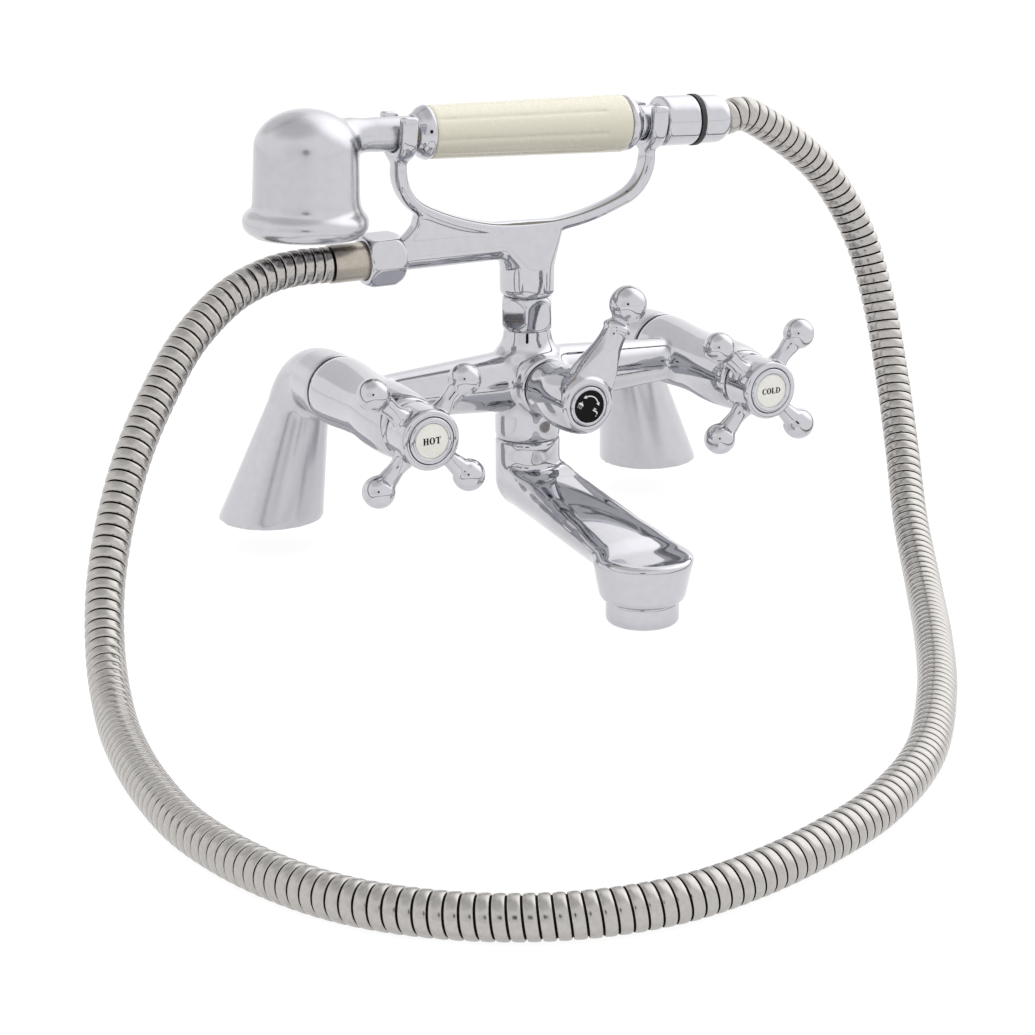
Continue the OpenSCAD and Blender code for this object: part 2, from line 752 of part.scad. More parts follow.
// A round trough with upright sides, which widens from one end to the other
module trough(a, b, ra, rb, rise) {
    d = b - a;
    wa = ra - lap;
    wb = rb - lap;
    translate(a) rotate([0, acos(d[2] / norm(d)), atan2(d[1], d[0])]) {
        cylinder(r1 = ra, r2 = rb, h = norm(d));
        rotate([0, -90, 0]) linear_extrude(rise)
            polygon([[0, -wa], [0, wa], [norm(d), wb], [norm(d), -wb]]);
    }
}
module spout() {
    arm_from = [0, -body_out, elbow_z];
    arm_to = [0, -outlet_out, lip_z + 5.2];
    water_to = [0, -outlet_out, cup_z + 11];
    color(chrome) difference() {
        union() {
            at_middle() {
                span(elbow_z, rim_z, stem_r);
                span(elbow_z, rim_z + spout_spigot_h, spout_spigot_r);
                translate([0, 0, elbow_z]) sphere(stem_r);
            }
            difference() {
                trough(arm_from, arm_to, stem_r - 3 * lap, cup_lip_r - 1, 20);
                translate([0, -outlet_out, lip_z]) rotate([atan(arm_slope), 0, 0])
                    translate([-half_space / 2, -half_space / 2, 0]) cube(half_space);
            }
            at_mouth() turned(cup_outline());
        }
        at_middle() {
            span(elbow_z, rim_z + spout_spigot_h + past, middle_bore_r);
            translate([0, 0, elbow_z]) sphere(middle_bore_r);
            sleeve(
                spout_oring_z, spout_oring_z + spout_oring_t,
                spout_spigot_r + past, spout_spigot_r - spout_oring_depth
            );
        }
        between(arm_from, water_to, 5, 5);
        at_mouth() {
            span(cup_z - past, cup_z + aerator_thread_h, aerator_thread_r + fit_gap);
            span(cup_z, cup_z + aerator_thread_h + 3, aerator_bore_r);
        }
    }
}
module spout_oring() {
    color(rubber) at_middle()
        sleeve(
            spout_oring_z + fit_gap, spout_oring_z + spout_oring_t - fit_gap,
            spout_spigot_r, spout_spigot_r - spout_oring_depth + fit_gap
        );
}
aerator_washer_t = 1.5;
module aerator_ring() {
    color(chrome) at_mouth() difference() {
        turned(concat(
            [[0, mouth_z], [aerator_r - 1.6, mouth_z]],
            arc(aerator_r - 1.6, mouth_z + 1.6, 1.6, 270, 360, 5),
            [
                [aerator_r, cup_z], [aerator_thread_r, cup_z],
                [aerator_thread_r, cup_z + aerator_thread_h - aerator_washer_t],
                [0, cup_z + aerator_thread_h - aerator_washer_t]
            ]
        ));
        span(mouth_z - past, cup_z + aerator_thread_h, aerator_bore_r);
    }
}
module aerator_insert() {
    hole_step = 4.4;
    color(steel) at_mouth() difference() {
        span(mouth_z + 1.5, mouth_z + 6, aerator_bore_r - fit_gap);
        span(mouth_z + 1.4, mouth_z + 6 + past, 1.2);
        for (ring = [1, 2])
            for (i = [0 : 6 * ring - 1])
                rotate(60 / ring * i)
                    translate([hole_step * ring, 0, 0]) span(mouth_z + 1, mouth_z + 6 + past, 1.2);
    }
}
module aerator_washer() {
    color(rubber) at_mouth()
        sleeve(
            cup_z + aerator_thread_h - aerator_washer_t, cup_z + aerator_thread_h,
            aerator_thread_r - 0.3, aerator_bore_r
        );
}

// Cradle
module cradle_nut() {
    color(chrome) at_middle() hex_nut(nut_z, nut_top_z, cradle_nut_r, cradle_thread_r + fit_gap, 3.4, 0);
}
module cradle_washer() {
    color(rubber) at_middle()
        sleeve(body_thread_top_z, cradle_spigot_z, cradle_thread_r - 0.2, cradle_bore_r);
}
module bow_section(grow) {
    end = (bow_w - bow_t) / 2;
    square([bow_t + 2 * grow, 2 * end], center = true);
    for (side = [-1, 1]) translate([0, side * end]) circle(bow_t / 2 + grow);
}
// The corners are a hair thicker than the long arc and lap over its ends
module bow() {
    mid_r = bow_r + bow_t / 2;
    corner_mid_r = bow_corner_r + bow_t / 2;
    rotate([90, 0, 0]) {
        translate([0, bow_r - bow_drop - bow_end])
            rotate(270 - bow_angle) rotate_extrude(angle = 2 * bow_angle)
                translate([mid_r, 0]) bow_section(0);
        for (side = [0, 1])
            mirror([side, 0, 0]) translate([bow_corner_x, -bow_end])
                rotate(bow_angle - 90 - bow_lap_angle)
                    rotate_extrude(angle = 90 - bow_angle + bow_lap_angle)
                        translate([corner_mid_r, 0]) bow_section(bow_lap);
    }
}
module fork(side) {
    translate([side * fork_x - fork_w / 2, 0, 0]) rotate([0, 90, 0]) difference() {
        union() {
            cylinder(r = fork_r, h = fork_w);
            translate([-prong_rise, -fork_r, 0]) cube([prong_rise, 2 * fork_r, fork_w]);
        }
        translate([0, 0, -past]) cylinder(r = fork_slot_r, h = fork_w + 2 * past);
        translate([-half_space, -fork_slot_r, -past]) cube([half_space, 2 * fork_slot_r, fork_w + 2 * past]);
        translate([-half_space - prong_rise, -half_space / 2, -past])
            cube([half_space, half_space, fork_w + 2 * past]);
    }
    translate([side * fork_x, 0, -bow_end - past])
        linear_extrude(bow_end + past - fork_slot_r - 1) bow_section(0);
}
// Height of the bow's middle line at a distance from the upright axis
function bow_middle(x) = bow_r - bow_drop - bow_end - sqrt(pow(bow_r + bow_t / 2, 2) - pow(x, 2));
// The stem spreads into the bow, from a round foot to the bow's own width
module cradle_throat() {
    spread = 15;
    bow_z = bow_middle(spread);
    hull() {
        at_middle() span(stem_top_z - past, stem_top_z, cradle_stem_r, $fn = 32);
        in_handset() for (side = [-1, 1])
            translate([side * spread, 0, bow_z]) rotate([90, 0, 0])
                cylinder(r = bow_t / 2 - 0.2, h = bow_w - bow_t, center = true, $fn = 24);
    }
}
// The web fills the space between the hose outlet and the left half of the bow
module cradle_web() {
    web_w = 7;
    low = outlet_z - handset_z - 1;
    left = -hose_nut_x + 1.5;
    translate([0, web_w / 2, 0]) rotate([90, 0, 0]) linear_extrude(web_w) polygon(concat(
        [[0, low], [left, low], [left, low + 5], [left + 3.5, low + 7.5], [left + 6.5, low + 11]],
        [for (x = [-47 : 5 : -2]) [x, bow_middle(x)]],
        [[0, bow_middle(0)]]
    ));
}
module cradle() {
    color(chrome) difference() {
        union() {
            at_middle() {
                span(cradle_spigot_z, nut_top_z + past, cradle_thread_r);
                span(nut_top_z + stem_gap, stem_top_z, cradle_stem_r);
            }
            cradle_throat();
            at_outlet() {
                span(0, hose_nut_x, branch_r);
                span(hose_nut_x, hose_spigot_x, hose_thread_r);
            }
            in_handset() {
                bow();
                cradle_web();
                fork(-1);
                fork(1);
            }
        }
        at_middle() span(cradle_spigot_z - past, outlet_z - 2, cradle_bore_r);
        at_outlet() span(-3, hose_spigot_x + past, branch_bore_r);
    }
}

// Hose fittings at the cradle
module hose_nut() {
    color(chrome) at_outlet() difference() {
        hex_nut(hose_nut_x, hose_nut_end_x, hose_nut_r, ferrule_r + fit_gap, 3.2, 20);
        span(hose_nut_x - past, hose_nut_end_x - nut_lip_t, hose_thread_r + fit_gap);
    }
}
module hose_nut_washer() {
    color(rubber) at_outlet() sleeve(hose_spigot_x, ferrule_flange_x, hose_thread_r - 0.2, branch_bore_r);
}
module hose_ferrule() {
    color(nickel) at_outlet() difference() {
        union() {
            span(ferrule_flange_x, hose_nut_end_x - nut_lip_t, hose_thread_r - 0.1);
            span(ferrule_flange_x, ferrule_end_x, ferrule_r);
        }
        span(ferrule_flange_x - past, ferrule_end_x + past, hose_bore_d / 2);
    }
}

// Hose. Its route leaves the cradle to the left, comes down to the level of the spout's mouth, lies
// there in a wide loop in front of the mixer, and rises on the right to the hand shower's tail.
hose_start = [-ferrule_end_x - hose_gap, -body_out, outlet_z];
hose_end_x = end_nut_to + hose_gap;
hose_end = [hose_end_x * cos(handset_tilt), -body_out, handset_z - hose_end_x * sin(handset_tilt)];
hose_end_way = [cos(handset_tilt), 0, -sin(handset_tilt)];
hose_points = concat(
    [hose_start, hose_start - [hose_d, 0, 0]],
    [
        [-114, -57, 114], [-130, -60, 108], [-149, -67, 95], [-165, -76, 78], [-179, -86, 60],
        [-191, -98, 40], [-201, -113, 20], [-209, -134, 3], [-216, -162, -6],
        [-222, -192, -7], [-226, -226, -7], [-226, -261, -7], [-218, -297, -7], [-203, -327, -7],
        [-180, -350, -7], [-152, -365, -7], [-122, -371, -7], [-92, -368, -7], [-61, -359, -7],
        [-28, -344, -7], [7, -318, -7], [42, -278, -7], [73, -235, -7], [102, -190, -5],
        [126, -148, 7], [143, -118, 26], [154, -94, 51], [158, -77, 79], [154, -65, 108], [137, -58, 136]
    ],
    [hose_end + hose_d * hose_end_way, hose_end]
);
function curve_at(p, u) = let (
    i = min(floor(u), len(p) - 2),
    t = u - i,
    before = i == 0 ? 2 * p[0] - p[1] : p[i - 1],
    after = i == len(p) - 2 ? 2 * p[i + 1] - p[i] : p[i + 2]
) (2 * p[i] + (p[i + 1] - before) * t
    + (2 * before - 5 * p[i] + 4 * p[i + 1] - after) * t * t
    + (3 * p[i] - before - 3 * p[i + 1] + after) * t * t * t) / 2;
curve_steps = 10;
hose_curve = [for (k = [0 : (len(hose_points) - 1) * curve_steps]) curve_at(hose_points, k / curve_steps)];
hose_lengths = [
    for (k = 0, s = 0; k < len(hose_curve);
        s = s + (k + 1 < len(hose_curve) ? norm(hose_curve[k + 1] - hose_curve[k]) : 0), k = k + 1) s
];
hose_len = hose_lengths[len(hose_lengths) - 1];
function curve_index(s, low, high) =
    high - low <= 1 ? low :
    let (mid = floor((low + high) / 2))
        hose_lengths[mid] <= s ? curve_index(s, mid, high) : curve_index(s, low, mid);
function hose_at(s) = let (
    k = curve_index(s, 0, len(hose_curve) - 1),
    t = (s - hose_lengths[k]) / (hose_lengths[k + 1] - hose_lengths[k])
) hose_curve[k] + (hose_curve[k + 1] - hose_curve[k]) * t;
function unit(v) = v / norm(v);
function hose_way(s) = let (d = 0.5)
    s <= 0 ? [-1, 0, 0] :
    s >= hose_len ? -hose_end_way :
    unit(hose_at(min(s + d, hose_len)) - hose_at(max(s - d, 0)));
// Side directions are carried along the route without twist
function carried(side, way) = unit(side - (side * way) * way);
function ring_points(centre, way, side, r, sides) = let (other = cross(way, side))
    [for (i = [0 : sides - 1]) centre + r * (cos(360 * i / sides) * side + sin(360 * i / sides) * other)];
function ring_sides(stations) = [
    for (i = 0, side = carried([0, 0, 1], hose_way(stations[0])); i < len(stations);
        i = i + 1, side = i < len(stations) ? carried(side, hose_way(stations[i])) : side) side
];
hose_sides = 8;
rib_stations = [for (i = [0 : 2 * rib_count]) hose_len * i / (2 * rib_count)];
bore_count = 80;
bore_stations = [for (i = [0 : bore_count]) hose_len * i / bore_count];
function tube_rings(stations, radii) = let (side_list = ring_sides(stations)) [
    for (i = [0 : len(stations) - 1])
        each ring_points(
            hose_at(stations[i]), hose_way(stations[i]), side_list[i], radii[i % len(radii)], hose_sides
        )
];
function tube_faces(first, rings, outward) = [
    for (i = [0 : rings - 2]) for (j = [0 : hose_sides - 1])
        let (
            a = first + i * hose_sides + j,
            b = first + i * hose_sides + (j + 1) % hose_sides,
            c = a + hose_sides,
            d = b + hose_sides
        )
        each outward ? [[a, c, b], [b, c, d]] : [[a, b, c], [b, d, c]]
];
function end_faces(outer, inner, start) = [
    for (j = [0 : hose_sides - 1])
        let (k = (j + 1) % hose_sides)
        each start
            ? [[outer + j, outer + k, inner + j], [outer + k, inner + k, inner + j]]
            : [[outer + j, inner + j, outer + k], [outer + k, inner + j, inner + k]]
];
module hose() {
    groove_r = hose_d / 2 - rib_depth;
    outer = tube_rings(rib_stations, [groove_r, hose_d / 2]);
    inner = tube_rings(bore_stations, [hose_bore_d / 2]);
    outer_rings = len(rib_stations);
    first_inner = outer_rings * hose_sides;
    color(steel) polyhedron(
        concat(outer, inner),
        concat(
            tube_faces(0, outer_rings, true),
            tube_faces(first_inner, bore_count + 1, false),
            end_faces(0, first_inner, true),
            end_faces((outer_rings - 1) * hose_sides, first_inner + bore_count * hose_sides, false)
        ),
        convexity = 10
    );
}
gap_stations = [for (i = [0 : bore_count]) hose_at(bore_stations[i])];
gap_reach = 5 * hose_d;
hose_self_gap = min([
    for (i = [0 : bore_count]) for (j = [i + 1 : 1 : bore_count])
        if (bore_stations[j] - bore_stations[i] > gap_reach) norm(gap_stations[i] - gap_stations[j]) - hose_d
]);
echo(hose_length = hose_len, least_gap_of_the_hose_to_itself = hose_self_gap);

// Hose fittings at the hand shower
module hose_end_nut() {
    color(chrome) along_handset() difference() {
        turned([
            [0, end_nut_x], [tail_r - 0.4, end_nut_x], [tail_r - 0.2, end_nut_x + 0.5],
            [tail_r - 0.3, end_nut_to - 4], [tail_r - 1, end_nut_to - 2], [hose_d / 2 + 0.7, end_nut_to],
            [0, end_nut_to]
        ]);
        span(end_nut_x - past, tail_to + tail_thread_len + 1.5, hose_thread_r + fit_gap);
        span(end_nut_x, end_nut_to + past, hose_bore_d / 2);
    }
}
module hose_end_washer() {
    from = tail_to + tail_thread_len;
    color(rubber) along_handset() sleeve(from, from + 1.5, hose_thread_r - 0.2, tube_bore_r);
}

// Hand shower
head_inner_r = head_r - head_wall;
dome_h = 15;
shoulder = head_rise - dome_h;
function head_outline() = concat(
    [[0, -head_drop]],
    arc(rim_r - bead_r, -head_drop + bead_r, bead_r, 270, 435, 12),
    [[head_r, -head_drop + 2 * bead_r + 0.4], [head_r - 0.2, -head_drop + 13]],
    ellipse_arc(0, shoulder, head_r - 0.8, dome_h, 0, 90, 14)
);
module spray_head() {
    color(chrome) difference() {
        in_handset() union() {
            translate([-head_x, 0, 0]) turned(head_outline());
            rotate([0, 90, 0]) {
                span(-head_x, front_collar_x, rest_r);
                translate([0, 0, -head_x + head_r - 4]) cylinder(r1 = rest_r + 1, r2 = rest_r, h = 6);
            }
        }
        in_handset() translate([-head_x, 0, 0]) {
            span(-head_drop - past, shoulder, head_inner_r);
            translate([0, 0, shoulder]) sphere(dome_h - 3);
            span(-head_drop - past, -head_drop + plate_t + seal_w, plate_r + fit_gap);
        }
        along_handset() {
            span(-head_x, tube_from + past, tube_bore_r);
            span(tube_from, front_collar_x + past, tube_r + fit_gap);
        }
    }
}
module spray_plate() {
    hole_r = 0.8;
    ring_step = 3.3;
    color(chrome) in_handset() translate([-head_x, 0, -head_drop]) difference() {
        span(0, plate_t, plate_r);
        span(-past, plate_t + past, screw_r + fit_gap);
        for (ring = [2 : 5])
            for (i = [0 : 5 * ring - 1])
                rotate(72 / ring * i) translate([ring_step * ring, 0, 0]) span(-past, plate_t + past, hole_r);
    }
}
module spray_plate_screw() {
    color(steel) in_handset() translate([-head_x, 0, -head_drop]) mirror([0, 0, 1]) {
        span(-plate_t - 1, 0, screw_r);
        span(0, 0.8, screw_head_r);
    }
}
module spray_plate_seal() {
    color(rubber) in_handset() translate([-head_x, 0, -head_drop])
        sleeve(plate_t, plate_t + seal_w, plate_r, head_inner_r);
}
function collar_outline(x, grip_x, r) = let (way = grip_x > x ? 1 : -1, reach = abs(grip_x - x)) concat(
    [[0, x], [rest_r + 0.8, x]],
    [for (i = [0 : 6]) [rest_r + 0.8 + (r - 1.2 - rest_r) * ramp(i / 6), x + way * reach * 0.55 * i / 6]],
    [[r + 0.2, x + way * reach * 0.7], [r + 0.2, x + way * reach * 0.9], [r - 0.4, grip_x], [0, grip_x]]
);
module front_collar() {
    color(chrome) along_handset() difference() {
        turned(collar_outline(front_collar_x, grip_from, grip_small_r));
        span(front_collar_x - past, grip_from + past, tube_r + fit_gap);
    }
}
module rear_collar() {
    color(chrome) along_handset() difference() {
        turned(collar_outline(rear_collar_x, grip_to, grip_large_r - 0.6));
        span(grip_to - past, rear_collar_x + past, tube_r + fit_gap);
    }
}
module grip() {
    round_r = 1.4;
    flute_r = 0.8;
    flute_turn = 10;
    flute_from = grip_from - 1;
    flute_to = grip_from + 0.86 * (grip_to - grip_from);
    slope = (grip_large_r - grip_small_r) / (grip_to - grip_from);
    color(cream) along_handset() difference() {
        turned([
            [0, grip_from], [grip_small_r - 0.5, grip_from], [grip_small_r, grip_from + 0.6],
            [grip_large_r, grip_to - round_r], [grip_large_r - 0.5, grip_to - 0.4],
            [grip_large_r - round_r, grip_to], [0, grip_to]
        ]);
        span(grip_from - past, grip_to + past, tube_r + fit_gap);
        for (i = [0 : flute_count - 1]) rotate(360 / flute_count * i + flute_turn) {
            centre_r = grip_small_r - flute_depth + flute_r;
            a = [centre_r + slope * (flute_from - grip_from), 0, flute_from];
            b = [centre_r + slope * (flute_to - grip_from), 0, flute_to];
            between(a, b, flute_r, flute_r);
            translate(b) sphere(flute_r);
        }
    }
}
module grip_tube() {
    color(brass) along_handset() sleeve(tube_from, tube_to, tube_r, tube_bore_r);
}
module handset_tail() {
    edge = 0.6;
    color(chrome) along_handset() difference() {
        union() {
            span(rear_collar_x, tail_x + past, rest_r);
            turned([
                [0, tail_x], [tail_r - edge, tail_x], [tail_r, tail_x + edge],
                [tail_r, tail_to], [hose_thread_r, tail_to], [hose_thread_r, tail_to + tail_thread_len],
                [0, tail_to + tail_thread_len]
            ]);
        }
        span(rear_collar_x - past, tube_to, tube_r + fit_gap);
        span(tube_to - past, tail_to + tail_thread_len + past, tube_bore_r);
    }
}
module tail_ring() {
    color(rubber) along_handset()
        sleeve(tail_to, tail_to + tail_ring_t, tail_r + 0.3, hose_thread_r + fit_gap);
}

leg(hot);  // hot_leg
leg(cold);  // cold_leg
leg_gasket(hot);  // hot_leg_gasket
leg_gasket(cold);  // cold_leg_gasket
leg_screw(hot);  // hot_leg_screw
leg_screw(cold);  // cold_leg_screw
mixer_body();
cartridge(hot);  // hot_cartridge
cartridge(cold);  // cold_cartridge
seat_seal(hot);  // hot_seat_seal
seat_seal(cold);  // cold_seat_seal
fixed_disc(hot);  // hot_fixed_disc
fixed_disc(cold);  // cold_fixed_disc
moving_disc(hot);  // hot_moving_disc
moving_disc(cold);  // cold_moving_disc
spindle(hot);  // hot_spindle
spindle(cold);  // cold_spindle
handle(hot);  // hot_handle
handle(cold);  // cold_handle
handle_screw(hot);  // hot_handle_screw
handle_screw(cold);  // cold_handle_screw
handle_index_ring(hot);  // hot_index_ring
handle_index_ring(cold);  // cold_index_ring
handle_index_disc(hot);  // hot_index_disc
handle_index_disc(cold);  // cold_index_disc
diverter_bonnet();
diverter_valve();
diverter_spindle();
diverter_oring();
diverter_lever();
diverter_screw();
diverter_index_ring();
diverter_index_disc();
spout();
spout_oring();
aerator_ring();
aerator_insert();
aerator_washer();
cradle_nut();
cradle_washer();
cradle();
hose_nut();
hose_nut_washer();
hose_ferrule();
hose();
hose_end_nut();
hose_end_washer();
spray_head();
spray_plate();
spray_plate_screw();
spray_plate_seal();
front_collar();
grip();
grip_tube();
rear_collar();
handset_tail();
tail_ring();
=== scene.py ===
"""Looks of the bath shower mixer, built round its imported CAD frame.

Lengths are in metres, or in mm where a comment says so.
"""

import json
import math

import bpy
import numpy as np
from mathutils import Matrix, Vector


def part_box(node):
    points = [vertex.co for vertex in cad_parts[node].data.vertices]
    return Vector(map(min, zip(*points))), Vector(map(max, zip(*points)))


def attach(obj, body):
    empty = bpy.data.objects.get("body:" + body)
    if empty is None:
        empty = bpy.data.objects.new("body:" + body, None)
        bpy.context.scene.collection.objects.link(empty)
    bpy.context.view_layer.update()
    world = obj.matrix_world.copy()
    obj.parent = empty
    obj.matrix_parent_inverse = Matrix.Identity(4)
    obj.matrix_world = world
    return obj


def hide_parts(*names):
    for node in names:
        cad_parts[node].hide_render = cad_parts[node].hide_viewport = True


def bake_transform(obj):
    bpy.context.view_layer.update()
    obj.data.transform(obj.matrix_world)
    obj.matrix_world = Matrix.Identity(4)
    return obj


MM = 0.001
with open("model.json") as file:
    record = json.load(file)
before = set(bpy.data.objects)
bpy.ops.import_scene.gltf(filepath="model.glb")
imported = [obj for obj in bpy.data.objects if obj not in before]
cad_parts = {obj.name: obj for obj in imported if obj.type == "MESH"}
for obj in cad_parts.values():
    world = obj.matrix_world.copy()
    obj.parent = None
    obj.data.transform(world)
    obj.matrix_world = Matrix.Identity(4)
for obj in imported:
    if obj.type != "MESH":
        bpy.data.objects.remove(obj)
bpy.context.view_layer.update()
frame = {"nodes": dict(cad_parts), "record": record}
nodes = frame["nodes"]
body_of_node = {
    node: body
    for body, members in frame["record"]["behaviour"]["bodies"].items()
    for node in members
}
slot_of_node = {part["node"]: part["material_slot"] for part in frame["record"]["subparts"]}

# Camera of the photograph
AZIMUTH = math.radians(-27.911)
ELEVATION = math.radians(17.802)
ROLL = math.radians(-0.226)
SHIFT_RIGHT = 22.097 * MM
SHIFT_UP = -14.237 * MM
DISTANCE = 1080.134 * MM
FOCAL_PIXELS = 2500
FRAME_PIXELS = 1035
SENSOR = 36
CLIP_START = 10 * MM

# Hose
HOSE_D = 14 * MM
HOSE_START = Vector((-86.3, -56, 116)) * MM
HOSE_TILT = math.radians(2)
HOSE_END_REACH = 91.3 * MM
HANDSET_Z = 162 * MM
BODY_Y = -56 * MM
# Points of the route in mm, the same as the solid's
HOSE_POINTS = [
    (-114, -57, 114), (-130, -60, 108), (-149, -67, 95), (-165, -76, 78), (-179, -86, 60),
    (-191, -98, 40), (-201, -113, 20), (-209, -134, 3), (-216, -162, -6),
    (-222, -192, -7), (-226, -226, -7), (-226, -261, -7), (-218, -297, -7), (-203, -327, -7),
    (-180, -350, -7), (-152, -365, -7), (-122, -371, -7), (-92, -368, -7), (-61, -359, -7),
    (-28, -344, -7), (7, -318, -7), (42, -278, -7), (73, -235, -7), (102, -190, -5),
    (126, -148, 7), (143, -118, 26), (154, -94, 51), (158, -77, 79), (154, -65, 108), (137, -58, 136),
]
BAND_PITCH = 4.28 * MM
BAND_SIDES = 40
CURVE_STEPS = 24
WAY_STEP = 2 * MM
SHARP_EDGE = math.radians(30)
# Share of a band's pitch, and radius in mm there: a groove, whose faces are painted near black as shade,
# then a slightly rounded band
BAND_PROFILE = [
    (0.0, 6.1), (0.08, 6.1), (0.1, 6.66), (0.17, 6.87), (0.4, 6.97), (0.65, 7.0), (0.82, 6.95), (0.92, 6.78),
    (0.98, 6.45),
]
GROOVE_STEPS = 2
# The bands lean along the hose, most steeply on the side at this angle from its upper side. At each end of
# the hose the lean grows over a few bands
BAND_LEAN = 0.95 * MM
LEAN_SIDE = math.radians(70)
LEAN_BANDS = 3

# Voxel in mm and rounds of smoothing of each casting
CASTINGS = {
    "hot_leg": (0.7, 6), "cold_leg": (0.7, 6), "mixer_body": (0.7, 14), "spout": (0.6, 14),
    "cradle": (0.5, 30), "hot_handle": (0.4, 6), "cold_handle": (0.4, 6), "diverter_lever": (0.4, 8),
    "spray_head": (0.6, 20), "cradle_nut": (0.35, 4), "hose_nut": (0.35, 4), "hose_end_nut": (0.35, 6),
    "handset_tail": (0.4, 6), "front_collar": (0.3, 6), "rear_collar": (0.3, 6), "grip": (0.35, 4),
    "aerator_ring": (0.35, 6), "hot_index_ring": (0.25, 6), "cold_index_ring": (0.25, 6),
    "diverter_index_ring": (0.25, 6),
}
# Castings with a softer stretch: the axis along it, four places in mm where it fades in and out, and rounds
RELAXED = {
    "spout": (1, (-133, -122, -80, -70), 60),
    "spray_head": (0, (-84, -77, -70, -65), 60),
}
# Crown of the spout's arm: places along it and half widths there in mm, and where the crown fades in and out
ARM_ENDS = (-149, -56)
ARM_HALVES = (19.4, 13.2)
CROWN_FADE = (-162, -140, -80, -70)
ARM_CROWN = 2.0 * MM
# Share of the way to its neighbours that a point goes in one round of smoothing
SMOOTH_SHARE = 0.5
# Rounds of evening out the shading, and how firmly it stops at edges
SHADE_ROUNDS = 12
EDGE_POWER = 6

# Grain of the materials
METAL_DETAIL = 4.0
PAINT_DETAIL = 5.0
RELIEF_DEPTH = 0.02 * MM
COAT_ROUGHNESS = 0.05
TINT_FROM = 0.3
TINT_TO = 0.7

# Words and signs on the index discs
WORD_HEIGHT = 2.6 * MM
# Height of the longer word as a share of the other's, and the gap between letters as a share of the height
LONG_WORD_SHARE = 0.9
WORD_GAP = 0.08
SIGN_RAISE = 0.03 * MM
LEVER_ANGLE = 30

# Studio: the ground is what the eye sees, and the table is the same sheet as the metal shows it
FLOOR_Z = -14.3 * MM
FLOOR_SIZE = 12.0
WORLD_FILL = 0.5
GROUND_GLOW = 0.93
GROUND_WHITE = 0.14
TABLE_GLOW = 0.71
TABLE_WHITE = 0.42
# Sides of the light tent: direction, angles where a side is full and where it ends, and its gain
TENT_LOBES = [
    ((1.0, 0.2, 0.8), 12, 45, 0.85),
    ((-0.2, 0.1, 1.0), 10, 45, -0.38),
    ((-0.1, 0.78, 0.62), 22, 26, -0.27),
    ((-1.0, -0.9, 0.15), 5, 40, -0.14),
]
TENT_LEVEL = 1.2
LENS_R = 130 * MM
LENS_SIDES = 16
LENS_GLOW = 0.02
LENS_BEHIND = 0.05
# Place, width, height and watts of each lamp, all aimed at one point
LAMPS = {
    "key_light": ((-1.4, -1.6, 2.8), 1.5, 1.5, 45),
    "top_light": ((0.2, 0.3, 3.0), 2.0, 1.0, 30),
    "right_light": ((2.4, -1.2, 1.5), 1.0, 1.6, 20),
}
LAMP_AIM = Vector((0, -0.1, 0.08))


# Materials
def new_material(name, settings):
    """A Principled material, with each setting put on the shader's own socket."""
    material = bpy.data.materials.new(name)
    material.use_nodes = True
    shader = material.node_tree.nodes["Principled BSDF"]
    for socket, value in settings.items():
        shader.inputs[socket].default_value = value
    return material


def add_node(material, kind, settings):
    node = material.node_tree.nodes.new(kind)
    for name, value in settings.items():
        if name in node.inputs:
            node.inputs[name].default_value = value
        else:
            setattr(node, name, value)
    return node


def join(material, source, output, target, socket):
    material.node_tree.links.new(source.outputs[output], target.inputs[socket])


def noise_on(material, scale, detail):
    """A noise in the object's own coordinates."""
    place = add_node(material, "ShaderNodeTexCoord", {})
    noise = add_node(material, "ShaderNodeTexNoise", {"Scale": scale, "Detail": detail})
    join(material, place, "Object", noise, "Vector")
    return noise


def vary(material, noise, socket, low, high):
    """Lets a noise drive a shader's value between two limits."""
    limits = add_node(material, "ShaderNodeMapRange", {"To Min": low, "To Max": high})
    join(material, noise, "Fac", limits, "Value")
    join(material, limits, "Result", material.node_tree.nodes["Principled BSDF"], socket)


def tint(material, noise, dark, light):
    """Lets a noise mix two near colours for the base colour."""
    ramp = add_node(material, "ShaderNodeValToRGB", {})
    ramp.color_ramp.elements[0].position = TINT_FROM
    ramp.color_ramp.elements[1].position = TINT_TO
    ramp.color_ramp.elements[0].color = (*dark, 1)
    ramp.color_ramp.elements[1].color = (*light, 1)
    join(material, noise, "Fac", ramp, "Fac")
    join(material, ramp, "Color", material.node_tree.nodes["Principled BSDF"], "Base Color")


def roughen(material, noise, strength, depth):
    """Lets a noise raise the surface a little."""
    bump = add_node(material, "ShaderNodeBump", {"Strength": strength, "Distance": depth})
    join(material, noise, "Fac", bump, "Height")
    join(material, bump, "Normal", material.node_tree.nodes["Principled BSDF"], "Normal")


def metal(name, dark, light, smooth, rough, grain):
    material = new_material(name, {"Metallic": 1.0})
    noise = noise_on(material, grain, METAL_DETAIL)
    tint(material, noise, dark, light)
    vary(material, noise, "Roughness", smooth, rough)
    return material


def painted(name, dark, light, smooth, rough, grain, coat, shine=0.5, relief=0.15):
    material = new_material(
        name, {"Coat Weight": coat, "Coat Roughness": COAT_ROUGHNESS, "Specular IOR Level": shine}
    )
    noise = noise_on(material, grain, PAINT_DETAIL)
    tint(material, noise, dark, light)
    vary(material, noise, "Roughness", smooth, rough)
    roughen(material, noise, relief, RELIEF_DEPTH)
    return material


